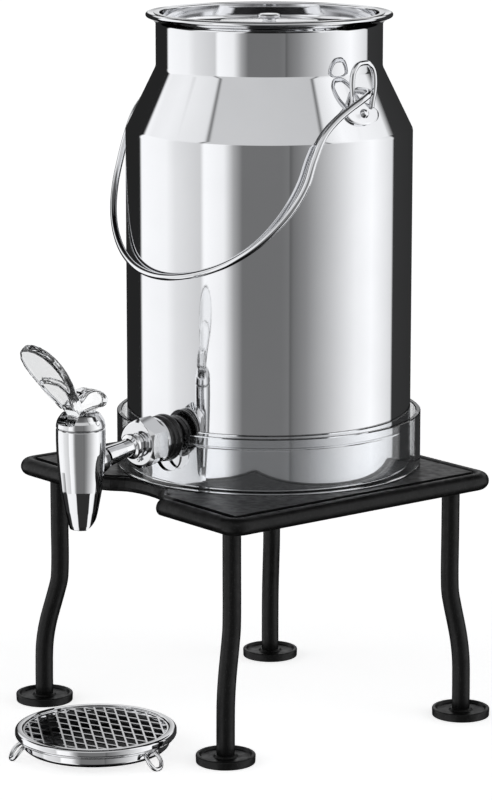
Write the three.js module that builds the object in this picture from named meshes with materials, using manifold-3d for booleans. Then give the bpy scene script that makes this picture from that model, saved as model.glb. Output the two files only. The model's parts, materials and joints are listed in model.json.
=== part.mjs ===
// Milk can dispenser: a polished steel can with a bail handle, a lid and a low tap, standing in a clear
// collar on a black four-legged stand, with a round drip tray on the floor under the spout.
// Millimetres, +Z up, floor at z = 0. The can's axis is the working origin and the tap points along -Y.
// The last step moves everything so that the middle of the bounding box's base is the origin.
import * as THREE from 'three';
import { mergeVertices } from 'three/addons/utils/BufferGeometryUtils.js';
import Module from 'manifold-3d';

const wasm = await Module();
wasm.setup();

const GAP = 0.3; // clearance left between pieces that touch
const DEG = Math.PI / 180;

// Heights of the stand and of what stands on it
const PLATE_TOP = 150.9;
const CAN_FOOT_Z = PLATE_TOP + GAP;

// Can
const CAN = {
  bodyRadius: 85,
  footRadius: 84.5,
  neckRadius: 66.9,
  wall: 1.1,
  floorZ: 160,
  seamZ: 177,
  shoulderLowZ: 353,
  shoulderTopZ: 389.8,
  lipZ: 420,
  lipRadius: 71.35,
  lipRoll: 1.5,
  segments: 40,
};

// Clear collar round the can's foot, slotted for the tap
const COLLAR = { outer: 91.2, inner: 88.2, topZ: 184, slotHalf: 9.5, slotFloorZ: 160.6 };

// Tap: radial positions are distances from the can's axis
const TAP_Z = 181;
const BOSS_RADIUS = 8.6;
const BOSS_BORE = 8.9;
const NUT = { back: 101.8, front: 116.8, flats: 25.6 };
const SHANK_DROOP = 7 * DEG;
const SPOUT_Y = -163.3;
const SPOUT_SEAM_Z = 198;
const VALVE_SEAT_Z = 170;
const PIN = { y: -163.3, z: 202.5, radius: 1.6, hole: 1.66 };
const LEVER_LEAN = 39.9 * DEG;

// Bail handle and its ears, turned a little off square with the tap
const EAR_TURN = -6.5 * DEG;
const EAR_RADIUS = 79;
const EAR_WIRE = 1.55;
const BAIL_Z = 381;
const BAIL_WIRE = 2;

// Stand, in its own frame: turned and shifted under the can
const STAND = { x: -1.6, y: -12.9, turn: -10.5 * DEG, halfX: 102.2, halfY: 95.4 };
const RAIL_RADIUS = 5.2;
const RAIL_Z = PLATE_TOP + 0.1 - RAIL_RADIUS;
const PLATE_THICK = 4;
const NOTCH = { x: -3, half: 37, depth: 22.5 };
const LEG_RADIUS = 5.4;
const FOOT_RADIUS = 17.4;
const FOOT_HEIGHT = 5;
const LEGS = {
  front_left: { top: [-99.8, -78.6], foot: [-107.1, -86] },
  front_right: { top: [56.5, -98.5], foot: [58.8, -106.7] },
  back_left: { top: [-61.2, 74.7], foot: [-66.9, 80] },
  back_right: { top: [98.8, 51.6], foot: [105, 56] },
};

// Drip tray
const TRAY = { x: -9.3, y: -143.4, ringRadius: 47, topZ: 16, basinRadius: 42.8 };
// The expanded-metal grate: strands along X before it is turned, staggered crossings leaning across them
const MESH = { pitch: 5.85, length: 11.2, strand: 1, crossing: 1.5, lean: 35 * DEG, turn: -41 };
const TRAY_FOOT_ANGLES = [-122, -2, 118];

const STEEL = new THREE.MeshStandardMaterial({ name: 'polished_steel', color: 0xd4d6da, metalness: 1, roughness: 0.12 });
const CHROME = new THREE.MeshStandardMaterial({ name: 'chrome', color: 0xe2e4e8, metalness: 1, roughness: 0.06 });
const BLACK_IRON = new THREE.MeshStandardMaterial({ name: 'black_iron', color: 0x1b1b1d, metalness: 0.3, roughness: 0.5 });
const RUBBER = new THREE.MeshStandardMaterial({ name: 'rubber', color: 0x141414, roughness: 0.8 });
const CLEAR = new THREE.MeshStandardMaterial({ name: 'clear_acrylic', color: 0xeef2f4, roughness: 0.05, transparent: true, opacity: 0.35 });

const group = new THREE.Group();
group.name = 'milk_can';

// ---------------------------------------------------------------- geometry helpers

function signedVolume(geometry) {
  const p = geometry.attributes.position;
  const index = geometry.index.array;
  const a = new THREE.Vector3();
  const b = new THREE.Vector3();
  const c = new THREE.Vector3();
  let total = 0;
  for (let i = 0; i < index.length; i += 3) {
    a.fromBufferAttribute(p, index[i]);
    b.fromBufferAttribute(p, index[i + 1]);
    c.fromBufferAttribute(p, index[i + 2]);
    total += a.dot(b.cross(c)) / 6;
  }
  return total;
}

// Welded, indexed, free of collapsed triangles and facing outwards
function closed(geometry) {
  geometry.deleteAttribute('uv');
  geometry.deleteAttribute('normal');
  const welded = mergeVertices(geometry, 1e-4);
  const index = welded.index.array;
  const kept = [];
  for (let i = 0; i < index.length; i += 3) {
    const [a, b, c] = [index[i], index[i + 1], index[i + 2]];
    if (a !== b && b !== c && a !== c) kept.push(a, b, c);
  }
  welded.setIndex(kept);
  if (signedVolume(welded) < 0) {
    const flipped = [];
    for (let i = 0; i < kept.length; i += 3) flipped.push(kept[i], kept[i + 2], kept[i + 1]);
    welded.setIndex(flipped);
  }
  return welded;
}

function solid(geometry) {
  const g = closed(geometry);
  return new wasm.Manifold(
    new wasm.Mesh({
      numProp: 3,
      vertProperties: new Float32Array(g.attributes.position.array),
      triVerts: new Uint32Array(g.index.array),
    }),
  );
}

function surface(manifold) {
  const mesh = manifold.getMesh();
  const g = new THREE.BufferGeometry();
  g.setAttribute('position', new THREE.BufferAttribute(new Float32Array(mesh.vertProperties), 3));
  g.setIndex(new THREE.BufferAttribute(new Uint32Array(mesh.triVerts), 1));
  return g;
}

function cut(geometry, ...tools) {
  let result = solid(geometry);
  for (const tool of tools) result = result.subtract(solid(tool));
  return surface(result);
}

function join(geometry, ...others) {
  let result = solid(geometry);
  for (const other of others) result = result.add(solid(other));
  return surface(result);
}

function common(geometry, other) {
  return surface(solid(geometry).intersect(solid(other)));
}

// A body turned about Z from [radius, z] points
function turned(points, segments) {
  const profile = points.map(([r, z]) => new THREE.Vector2(Math.max(r, 0), z));
  return new THREE.LatheGeometry(profile, segments).rotateX(Math.PI / 2);
}

// A ring turned about Z from a closed loop of [radius, z] points
function turnedLoop(points, segments) {
  return turned([...points, points[0]], segments);
}

function arc(centreR, centreZ, radius, fromDeg, toDeg, steps) {
  const points = [];
  for (let i = 0; i <= steps; i += 1) {
    const angle = (fromDeg + ((toDeg - fromDeg) * i) / steps) * DEG;
    points.push([centreR + radius * Math.cos(angle), centreZ + radius * Math.sin(angle)]);
  }
  return points;
}

function cylinder(radius, low, high, segments) {
  return turned([[0, low], [radius, low], [radius, high], [0, high]], segments);
}

function tubeRing(outer, inner, low, high, segments) {
  return turnedLoop([[inner, low], [outer, low], [outer, high], [inner, high]], segments);
}

function block(x0, x1, y0, y1, z0, z1) {
  const g = new THREE.BoxGeometry(x1 - x0, y1 - y0, z1 - z0);
  return g.translate((x0 + x1) / 2, (y0 + y1) / 2, (z0 + z1) / 2);
}

// Lays a body turned about Z along the tap's axis: its z becomes the distance from the can's axis
function alongTap(geometry) {
  return geometry.rotateX(Math.PI / 2).translate(0, 0, TAP_Z);
}

function circleShape(radius, count) {
  const shape = new THREE.Shape();
  for (let i = 0; i < count; i += 1) {
    const angle = (2 * Math.PI * i) / count;
    const [x, y] = [radius * Math.cos(angle), radius * Math.sin(angle)];
    if (i === 0) shape.moveTo(x, y);
    else shape.lineTo(x, y);
  }
  shape.closePath();
  return shape;
}

// A round wire through the given points
function wire(points, radius, steps, sides) {
  const path = new THREE.CatmullRomCurve3(points.map((p) => new THREE.Vector3(...p)), false, 'centripetal');
  return new THREE.ExtrudeGeometry(circleShape(radius, sides), { steps, extrudePath: path, bevelEnabled: false });
}

function add(name, geometry, material) {
  const g = closed(geometry);
  g.computeVertexNormals();
  const mesh = new THREE.Mesh(g, material);
  mesh.name = name;
  group.add(mesh);
}

// ---------------------------------------------------------------- can

function shoulderRadius(z) {
  const run = (CAN.bodyRadius - CAN.neckRadius) / (CAN.shoulderTopZ - CAN.shoulderLowZ);
  return CAN.bodyRadius - (z - CAN.shoulderLowZ) * run;
}

// Outside of the sheet from the foot to the top of the neck; inset moves it to the inner face
function sheetLine(inset) {
  const body = CAN.bodyRadius - inset;
  const neck = CAN.neckRadius - inset;
  const blend = inset * 0.35;
  return [
    [body, CAN.seamZ + 0.7],
    [body, CAN.shoulderLowZ - 2 - blend],
    [body - 0.9, CAN.shoulderLowZ + 1 - blend],
    [shoulderRadius(CAN.shoulderLowZ + 4) - inset - 0.1, CAN.shoulderLowZ + 4 - blend],
    [shoulderRadius(CAN.shoulderTopZ - 4) - inset + 0.1, CAN.shoulderTopZ - 4 - blend],
    [neck + 0.7, CAN.shoulderTopZ - blend],
    [neck, CAN.shoulderTopZ + 5 - blend],
  ];
}

function canShell() {
  const innerRadius = CAN.bodyRadius - CAN.wall;
  const inside = [
    [0, CAN.floorZ + CAN.wall],
    [innerRadius - 5, CAN.floorZ + CAN.wall],
    [innerRadius - 1.4, CAN.floorZ + CAN.wall + 1.4],
    [innerRadius, CAN.floorZ + CAN.wall + 5],
    ...sheetLine(CAN.wall),
    [CAN.neckRadius - CAN.wall, CAN.lipZ - 1.8],
    [CAN.neckRadius - 0.5, CAN.lipZ - 0.2],
    [CAN.neckRadius + 0.7, CAN.lipZ + 0.4],
  ];
  // The flared lip: nearly flat on top, a small roll at its edge, sloping back to the neck below
  const lip = arc(CAN.lipRadius, CAN.lipZ, CAN.lipRoll, 100, -70, 7);
  const outside = [
    [CAN.neckRadius + 2.6, CAN.lipZ - 2.3],
    [CAN.neckRadius + 0.6, CAN.lipZ - 3.6],
    [CAN.neckRadius, CAN.lipZ - 5.4],
    ...sheetLine(0).reverse(),
    [CAN.footRadius, CAN.seamZ + 0.1],
    [CAN.footRadius, CAN.seamZ - 0.5],
    [CAN.bodyRadius - 0.1, CAN.seamZ - 1.1],
    [CAN.bodyRadius - 0.1, CAN_FOOT_Z + 1],
    [CAN.bodyRadius - 0.8, CAN_FOOT_Z],
    [CAN.bodyRadius - 2.4, CAN_FOOT_Z],
    [CAN.bodyRadius - 3, CAN_FOOT_Z + 1],
    [CAN.bodyRadius - 3, CAN.floorZ - 2],
    [CAN.bodyRadius - 5, CAN.floorZ],
    [0, CAN.floorZ],
  ];
  const shell = turned([...inside, ...lip, ...outside], CAN.segments);
  const tapHole = alongTap(cylinder(BOSS_BORE, 60, 95, 32));
  // The drawn shoulder and neck are welded to the body just above the shoulder's crease
  const weldZ = CAN.shoulderLowZ + 5;
  const above = block(-100, 100, -100, 100, weldZ - GAP / 2, 500);
  const below = block(-100, 100, -100, 100, 100, weldZ + GAP / 2);
  add('can_body', cut(shell, tapHole, above), STEEL);
  add('can_neck', cut(shell, below), STEEL);
}

// A sunken lid whose edge lies on the lip, with a raised middle and a low turned knob
function lid() {
  const skirt = CAN.neckRadius - CAN.wall - 0.6;
  const dishZ = 411.5;
  const discZ = 416.4;
  const discRadius = 30;
  const edgeZ = CAN.lipZ + 0.4 + GAP;
  const pan = [
    [0, discZ],
    [discRadius - 1.6, discZ],
    [discRadius, discZ - 1],
    [discRadius + 1.2, dishZ + 0.8],
    [discRadius + 3, dishZ],
    [skirt - 3, dishZ],
    [skirt - 0.8, dishZ + 2],
    [skirt - 0.8, edgeZ - 0.6],
    [skirt + 0.2, edgeZ + 0.6],
    [skirt + 2.8, edgeZ + 0.75],
    [skirt + 3, edgeZ + 0.4],
    [skirt + 0.6, edgeZ],
    [skirt, edgeZ - 1],
    [skirt, dishZ + 1.6],
    [skirt - 2.6, dishZ - 0.8],
    [discRadius + 2.6, dishZ - 0.8],
    [discRadius + 0.4, dishZ + 0.4],
    [discRadius - 0.8, discZ - 1.4],
    [discRadius - 2, discZ - 0.8],
    [0, discZ - 0.8],
  ];
  add('lid_pan', turned(pan, 32), STEEL);
  const base = discZ + GAP;
  const knob = [
    [0, base],
    [4, base],
    [3.8, base + 1],
    [6.6, base + 1.4],
    [7.2, base + 2],
    [7, base + 2.9],
    [6, base + 3.4],
    [0, base + 3.6],
  ];
  add('lid_knob', turned(knob, 20), STEEL);
}

// ---------------------------------------------------------------- ears and bail

// Ear frame: s runs outward through the ear, f forward (towards the tap), z up
function fromEarFrame(side, s, f, z) {
  const [cos, sin] = [Math.cos(EAR_TURN), Math.sin(EAR_TURN)];
  return [side * s * cos + f * sin, side * s * sin - f * cos, z];
}

// A welded pad that follows the cone of the shoulder
function earPad(side) {
  const thick = 2;
  const slope = Math.hypot(1, (CAN.bodyRadius - CAN.neckRadius) / (CAN.shoulderTopZ - CAN.shoulderLowZ));
  const around = 20;
  const rings = [0.001, 0.6, 0.9, 1];
  const rise = [1, 1, 0.9, 0.55];
  const centreZ = 368.6;
  const outline = (angle) => {
    const up = Math.sin(angle);
    const half = up > 0 ? 13.2 - 6.5 * up : 13.2 + 1.2 * -up;
    return [half * Math.cos(angle), (up > 0 ? 7.2 : 6.6) * up];
  };
  const positions = [];
  const point = (ring, step, lift) => {
    const [w, h] = outline((2 * Math.PI * step) / around);
    const z = centreZ + h * rings[ring];
    const radius = shoulderRadius(z) + (GAP + lift) * slope;
    const angle = (w * rings[ring]) / radius;
    return fromEarFrame(side, radius * Math.cos(angle), radius * Math.sin(angle), z);
  };
  for (let ring = 0; ring < rings.length; ring += 1) {
    for (let step = 0; step < around; step += 1) positions.push(...point(ring, step, thick * rise[ring]));
  }
  for (let ring = 0; ring < rings.length; ring += 1) {
    for (let step = 0; step < around; step += 1) positions.push(...point(ring, step, 0));
  }
  const index = [];
  const at = (layer, ring, step) => (layer * rings.length + ring) * around + (step % around);
  const quad = (a, b, c, d) => index.push(a, b, c, a, c, d);
  for (let step = 0; step < around; step += 1) {
    for (let ring = 0; ring + 1 < rings.length; ring += 1) {
      quad(at(0, ring, step), at(0, ring + 1, step), at(0, ring + 1, step + 1), at(0, ring, step + 1));
      quad(at(1, ring, step), at(1, ring, step + 1), at(1, ring + 1, step + 1), at(1, ring + 1, step));
    }
    const last = rings.length - 1;
    quad(at(0, last, step), at(1, last, step), at(1, last, step + 1), at(0, last, step + 1));
    if (step > 0 && step + 1 < around) {
      index.push(at(0, 0, 0), at(0, 0, step), at(0, 0, step + 1));
      index.push(at(1, 0, 0), at(1, 0, step + 1), at(1, 0, step));
    }
  }
  const g = new THREE.BufferGeometry();
  g.setAttribute('position', new THREE.Float32BufferAttribute(positions, 3));
  g.setIndex(index);
  return g;
}

function earLoop(side) {
  const half = [
    [EAR_RADIUS - 1, 7.4, 371.4],
    [EAR_RADIUS - 0.4, 7.8, 375.5],
    [EAR_RADIUS, 8.6, 380.5],
    [EAR_RADIUS, 9, 386.5],
    [EAR_RADIUS, 7.9, 392.4],
    [EAR_RADIUS, 4.5, 396.4],
  ];
  const other = half.map(([s, f, z]) => [s, -f, z]).reverse();
  const path = [...half, [EAR_RADIUS, 0, 397.2], ...other];
  return wire(path.map(([s, f, z]) => fromEarFrame(side, s, f, z)), EAR_WIRE, 18, 8);
}

function ears() {
  for (const [name, side] of [['left', -1], ['right', 1]]) {
    add(`ear_${name}`, join(earPad(side), earLoop(side)), STEEL);
    const rivet = turned([[0, 0], [2.6, 0], [2.4, 0.8], [1.5, 1.5], [0, 1.8]], 12);
    const tilt = Math.atan((CAN.bodyRadius - CAN.neckRadius) / (CAN.shoulderTopZ - CAN.shoulderLowZ));
    const z = 368.2;
    rivet.rotateY(Math.PI / 2 - tilt);
    rivet.translate(shoulderRadius(z) + (GAP + 2 + GAP) * Math.hypot(1, Math.tan(tilt)), 0, z);
    rivet.rotateZ(side > 0 ? EAR_TURN : EAR_TURN + Math.PI);
    add(`ear_rivet_${name}`, rivet, STEEL);
  }
}

function bail() {
  const half = [
    [73.2, 0, 0],
    [78, 0, 0],
    [82.6, 0.2, 0],
    [86, 2.2, -0.8],
    [86.6, 8, -3.8],
    [85, 16, -8.5],
    [83.4, 25, -14.5],
    [82.2, 34, -23],
    [81.6, 41, -36],
    [81, 46.5, -50],
    [77.4, 53.5, -63],
    [69, 62.5, -77],
    [57, 71, -89],
    [40, 79.3, -99],
    [20, 85.7, -105],
  ];
  const other = half.map(([s, f, z]) => [-s, f, z]).reverse();
  const path = [...half, [0, 87.8, -107], ...other];
  const points = path.map(([s, f, z]) => fromEarFrame(1, s, f, BAIL_Z + z));
  add('bail_handle', wire(points, BAIL_WIRE, 46, 8), STEEL);
}

// ---------------------------------------------------------------- collar

function collar() {
  const ring = tubeRing(COLLAR.outer, COLLAR.inner, CAN_FOOT_Z, COLLAR.topZ, CAN.segments);
  const slot = new THREE.Shape();
  const round = 3;
  const half = COLLAR.slotHalf;
  const top = COLLAR.topZ;
  const centreZ = COLLAR.slotFloorZ + half;
  slot.moveTo(-half - round, top + 2);
  slot.lineTo(-half - round, top);
  slot.quadraticCurveTo(-half, top, -half, top - round);
  slot.lineTo(-half, centreZ);
  slot.absarc(0, centreZ, half, Math.PI, 2 * Math.PI, false);
  slot.lineTo(half, top - round);
  slot.quadraticCurveTo(half, top, half + round, top);
  slot.lineTo(half + round, top + 2);
  const tool = new THREE.ExtrudeGeometry(slot, { depth: 30, bevelEnabled: false, curveSegments: 6 });
  tool.rotateX(Math.PI / 2).translate(0, -75, 0);
  add('clear_collar', cut(ring, tool), CLEAR);
}

// ---------------------------------------------------------------- tap

function tapFixing() {
  const boss = tubeRing(BOSS_RADIUS, 4, 75.5, NUT.front - 1, 32);
  add('threaded_boss', alongTap(boss), CHROME);

  const saddle = alongTap(tubeRing(11.6, BOSS_BORE, 80, 95, 28));
  const outerBand = tubeRing(COLLAR.inner - GAP, CAN.bodyRadius + GAP, TAP_Z - 25, TAP_Z + 25, 96);
  const outerHalf = common(saddle, outerBand);
  add('outer_gasket', outerHalf, RUBBER);

  const innerDisc = alongTap(tubeRing(13.5, BOSS_BORE, 75, 90, 28));
  const innerLimit = CAN.bodyRadius - CAN.wall - GAP;
  const innerBand = tubeRing(innerLimit, innerLimit - 2.2, TAP_Z - 25, TAP_Z + 25, 96);
  add('inner_gasket', common(innerDisc, innerBand), RUBBER);

  const lockNut = hexPrism(24, 0, 4.2).translate(0, 0, 75.6);
  const lockBore = cylinder(BOSS_BORE, 70, 90, 32);
  add('inner_lock_nut', alongTap(cut(lockNut, lockBore)), CHROME);

  const washer = turnedLoop(
    [
      [BOSS_BORE, 91.8],
      [13.5, 91.8],
      [13.9, 92.6],
      [13.8, 94.6],
      [12.9, 95.4],
      [13.5, 96.4],
      [13.4, 98],
      [12.5, 98.8],
      [12.9, 99.6],
      [12.7, 101.2],
      [12.3, 101.5],
      [BOSS_BORE, 101.5],
    ],
    32,
  );
  add('seal_washer', alongTap(washer), RUBBER);
}

function hexPrism(flats, low, high) {
  const g = new THREE.CylinderGeometry(flats / Math.sqrt(3), flats / Math.sqrt(3), high - low, 6);
  return g.rotateX(Math.PI / 2).translate(0, 0, (low + high) / 2);
}

function tapNut() {
  const corner = NUT.flats / Math.sqrt(3);
  const hex = hexPrism(NUT.flats, NUT.back + 2.6, NUT.front);
  const crown = turned(
    [
      [0, NUT.back + 2],
      [corner - 1.2, NUT.back + 2],
      [corner + 0.2, NUT.back + 3.6],
      [corner + 0.2, NUT.front - 1.6],
      [corner - 2.4, NUT.front],
      [0, NUT.front],
    ],
    30,
  );
  const skirt = turned(
    [
      [0, NUT.back],
      [13, NUT.back],
      [13.4, NUT.back + 0.5],
      [13.4, NUT.back + 2],
      [12.8, NUT.back + 2.8],
      [0, NUT.back + 2.8],
    ],
    30,
  );
  const body = join(common(hex, crown), skirt);
  const bore = cylinder(BOSS_BORE, 95, NUT.front - 0.7, 32);
  const face = cylinder(6.4, NUT.front - 1, 120, 32);
  add('hex_nut', alongTap(cut(body, bore, face)), CHROME);

  const screw = turned([[0, 0], [1.5, 0], [1.5, 1.1], [1.1, 1.6], [0.6, 1.6], [0.5, 0.9], [0, 0.9]], 10);
  screw.rotateX(Math.PI / 2).translate(2.4, -(NUT.front + GAP), TAP_Z - 8.6);
  add('locking_screw', screw, CHROME);
}

// The drooping neck between the nut and the spout
function shank() {
  const start = NUT.front - 0.7;
  const length = 27.6;
  const profile = [
    [3, 0.1],
    [6, 0.1],
    [6, 2.6],
    [6.3, 3.2],
    [7.3, 3.9],
    [7.6, 5.1],
    [7.3, 6.3],
    [6.2, 7],
    [5.1, 7.6],
    [5.3, 14],
    [5.8, 22],
    [6, length],
    [3, length],
  ];
  const g = turnedLoop(profile, 20);
  g.rotateX(Math.PI / 2 + SHANK_DROOP);
  g.translate(0, -start, TAP_Z);
  const trim = alongTap(cylinder(12, start - 10, start + 0.1, 16));
  add('shank', cut(g, trim), CHROME);
}

function spoutBody() {
  const outer = [
    [0, 139.6],
    [6.2, 139.6],
    [7, 140.2],
    [7.6, 142.2],
    [9.5, 150],
    [11.8, 162],
    [13.1, 174],
    [13.9, 184],
    [14.1, 191],
    [14, SPOUT_SEAM_Z - 0.5],
    [13.6, SPOUT_SEAM_Z],
    [0, SPOUT_SEAM_Z],
  ];
  const body = turned(outer, 28).translate(0, SPOUT_Y, 0);
  const socket = turned([[0, -2], [8.6, -2], [8.2, 12], [7, 16.4], [6.7, 16.8], [0, 16.8]], 20);
  const socketY = SPOUT_Y + 1;
  const socketZ = TAP_Z - Math.tan(SHANK_DROOP) * (-SPOUT_Y - NUT.front);
  socket.rotateX(-Math.PI / 2 + SHANK_DROOP).translate(0, socketY, socketZ);
  const port = cylinder(3, -2, 30, 16);
  port.rotateX(-Math.PI / 2 + SHANK_DROOP).translate(0, socketY, socketZ);
  const recess = cylinder(6.3, 14.1, 30, 20);
  recess.rotateX(-Math.PI / 2 + SHANK_DROOP).translate(0, socketY, socketZ);
  const chamber = cylinder(9.4, VALVE_SEAT_Z, 200, 20).translate(0, SPOUT_Y, 0);
  const outlet = turned([[0, 130], [5.4, 130], [5.4, 146], [6, VALVE_SEAT_Z + 1], [0, VALVE_SEAT_Z + 1]], 20);
  outlet.translate(0, SPOUT_Y, 0);
  const bevel = block(-20, 20, -10, 40, -30, 0);
  bevel.rotateX(41 * DEG).translate(0, -166, 139.5);
  add('spout_body', cut(join(body, socket), port, recess, chamber, outlet, bevel), CHROME);
}

function bonnet() {
  const base = SPOUT_SEAM_Z + GAP;
  const dome = [
    [0, base],
    [13.6, base],
    [14, base + 0.5],
    [13.9, base + 2],
    [13.4, base + 4.2],
    [12.2, base + 6.6],
    [10.4, base + 8.4],
    [8, base + 9.5],
    [5, base + 10],
    [0, base + 10.1],
  ];
  const cap = turned(dome, 28).translate(0, SPOUT_Y, 0);
  const slot = block(-6.2, 6.2, SPOUT_Y - 7, SPOUT_Y + 9, base - 5, base + 20);
  const front = block(-6.6, 6.6, SPOUT_Y - 20, SPOUT_Y, 201.2, base + 20);
  const pinHole = cylinder(PIN.hole, -20, 20, 16).rotateY(Math.PI / 2).translate(0, PIN.y, PIN.z);
  add('bonnet', cut(cap, slot, front, pinHole), CHROME);
  const half = 13.6;
  const tip = PIN.radius - 0.3;
  const pin = turned([[0, -half], [tip, -half], [PIN.radius, 0.4 - half], [PIN.radius, half - 0.4], [tip, half], [0, half]], 16);
  add('pivot_pin', pin.rotateY(Math.PI / 2).translate(0, PIN.y, PIN.z), CHROME);
}

// A flat slab of the lever from half an outline of [half width, distance from the pin]
function leverSlab(outline, tip, depth) {
  const shape = new THREE.Shape();
  outline.forEach(([w, v], i) => (i === 0 ? shape.moveTo(w, v) : shape.lineTo(w, v)));
  shape.lineTo(0, tip);
  [...outline].reverse().forEach(([w, v]) => shape.lineTo(-w, v));
  shape.closePath();
  const slab = new THREE.ExtrudeGeometry(shape, {
    depth,
    bevelEnabled: true,
    bevelThickness: 1,
    bevelSize: 0.8,
    bevelOffset: -0.8,
    bevelSegments: 1,
  });
  return slab.translate(0, 0, -depth / 2).rotateX(Math.PI / 2 + LEVER_LEAN);
}

// Clear lever: a root on the pin, a wide paddle leaning outward with a thick lower half, and a short
// lobe towards the can
function lever() {
  const root = cylinder(5, -5.9, 5.9, 24).rotateY(Math.PI / 2);
  const outline = [
    [4.6, 0],
    [5.9, 9],
    [7.2, 17],
    [10, 24],
    [12.6, 31],
    [13.9, 39],
    [13.9, 46],
    [12.6, 52.4],
    [9.4, 57.8],
    [5, 61],
  ];
  const paddle = leverSlab(outline, 62, 3);
  const core = leverSlab([[5.8, 12], [7.4, 18], [9.4, 24], [10.4, 30], [7.4, 35]], 36.4, 5.4);
  const lobeShape = new THREE.Shape();
  lobeShape.moveTo(-4, 2);
  lobeShape.lineTo(2, 4.6);
  lobeShape.lineTo(9, 5.6);
  lobeShape.quadraticCurveTo(16, 5.4, 17.4, 8.6);
  lobeShape.quadraticCurveTo(17.6, 12.2, 13, 15.4);
  lobeShape.quadraticCurveTo(6, 18.6, 0, 16.4);
  lobeShape.lineTo(-7, 11);
  lobeShape.closePath();
  const lobe = new THREE.ExtrudeGeometry(lobeShape, {
    depth: 9.4,
    curveSegments: 5,
    bevelEnabled: true,
    bevelThickness: 1.2,
    bevelSize: 1,
    bevelOffset: -1,
    bevelSegments: 1,
  });
  lobe.translate(0, 0, -4.7).rotateY(Math.PI / 2).rotateX(Math.PI / 2);
  const hole = cylinder(PIN.hole, -20, 20, 16).rotateY(Math.PI / 2);
  const whole = cut(join(root, paddle, core, lobe), hole);
  add('lever_handle', whole.translate(0, PIN.y, PIN.z), CLEAR);
}

function valve() {
  const stem = [
    [0, VALVE_SEAT_Z + 5.6],
    [2.2, VALVE_SEAT_Z + 5.6],
    [2.2, 184],
    [6.5, 184.6],
    [6.5, 186.4],
    [2.2, 187],
    [2.2, 192.8],
    [1.6, 193.4],
    [0, 193.4],
  ];
  add('valve_stem', turned(stem, 16).translate(0, SPOUT_Y, 0), CHROME);
  const low = VALVE_SEAT_Z + GAP;
  const plug = [[0, low], [7.6, low], [8, low + 0.6], [6.4, low + 3], [4, low + 5], [0, low + 5]];
  add('valve_plug', turned(plug, 20).translate(0, SPOUT_Y, 0), RUBBER);
}

// ---------------------------------------------------------------- stand

function intoStand(geometry) {
  return geometry.rotateZ(STAND.turn).translate(STAND.x, STAND.y, 0);
}

// A round rail along X with mitred ends
function mitredRail(half, inwardSign) {
  const g = cylinder(RAIL_RADIUS, -half, half, 20).rotateY(Math.PI / 2);
  const p = g.attributes.position;
  const trim = GAP / Math.SQRT2;
  for (let i = 0; i < p.count; i += 1) {
    const end = Math.sign(p.getX(i));
    p.setX(i, end * (half - trim - inwardSign * p.getY(i)));
  }
  return g.translate(0, 0, RAIL_Z);
}

// A front rail: mitred at the corner, rounded at the notch
function stubRail(cornerX, endX) {
  const length = Math.abs(cornerX - endX);
  const dome = arc(0, length - RAIL_RADIUS, RAIL_RADIUS, 0, 90, 5);
  const g = turned([[0, 0], [RAIL_RADIUS, 0], ...dome], 20).rotateY(Math.PI / 2);
  const p = g.attributes.position;
  const trim = GAP / Math.SQRT2;
  for (let i = 0; i < p.count; i += 1) {
    if (p.getX(i) < 1) p.setX(i, trim + p.getY(i));
  }
  if (cornerX > endX) g.scale(-1, 1, 1);
  return g.translate(cornerX, -STAND.halfY, RAIL_Z);
}

// Centre line of the bowed rail that gives the tap room, in the stand's frame
function notchLine() {
  const { x, half, depth } = NOTCH;
  const base = -STAND.halfY;
  return [
    [x - half + 0.6, base + 8.6],
    [x - half * 0.78, base + depth * 0.5],
    [x - half * 0.5, base + depth * 0.86],
    [x, base + depth],
    [x + half * 0.5, base + depth * 0.86],
    [x + half * 0.78, base + depth * 0.5],
    [x + half - 0.6, base + 8.6],
  ];
}

function stand() {
  add('rail_back', intoStand(mitredRail(STAND.halfX, -1).translate(0, STAND.halfY, 0)), BLACK_IRON);
  for (const [name, side] of [['left', -1], ['right', 1]]) {
    const rail = mitredRail(STAND.halfY, 1).rotateZ((side * Math.PI) / 2).translate(side * STAND.halfX, 0, 0);
    add(`rail_${name}`, intoStand(rail), BLACK_IRON);
    const end = NOTCH.x + side * (NOTCH.half + 1);
    add(`rail_front_${name}`, intoStand(stubRail(side * STAND.halfX, end)), BLACK_IRON);
  }
  const line = notchLine();
  const notchRadius = RAIL_RADIUS - 0.6;
  const raised = line.map(([x, y]) => [x, y, RAIL_Z]);
  const notchRail = wire(raised, notchRadius, 16, 14);
  const stubs = [-1, 1].map((side) => {
    const end = NOTCH.x + side * (NOTCH.half + 1);
    return cylinder(RAIL_RADIUS + GAP, -60, 60, 24)
      .rotateY(Math.PI / 2)
      .translate(end + side * 60 - side * 1, -STAND.halfY, RAIL_Z);
  });
  add('rail_notch', intoStand(cut(notchRail, ...stubs)), BLACK_IRON);

  const edgeX = STAND.halfX - RAIL_RADIUS - GAP;
  const edgeY = STAND.halfY - RAIL_RADIUS - GAP;
  const slab = block(-edgeX, edgeX, -edgeY, edgeY, PLATE_TOP - PLATE_THICK, PLATE_TOP);
  const mouth = new THREE.Shape();
  mouth.moveTo(line[0][0], -STAND.halfY - 10);
  mouth.lineTo(...line[0]);
  mouth.splineThru(line.slice(1).map(([x, y]) => new THREE.Vector2(x, y)));
  mouth.lineTo(line[line.length - 1][0], -STAND.halfY - 10);
  mouth.closePath();
  const window = new THREE.ExtrudeGeometry(mouth, { depth: 20, bevelEnabled: false, curveSegments: 3 });
  window.translate(0, 0, PLATE_TOP - 12);
  const groove = wire(raised, notchRadius + GAP, 16, 14);
  add('plate', intoStand(cut(slab, window, groove, ...stubs)), BLACK_IRON);
}

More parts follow.
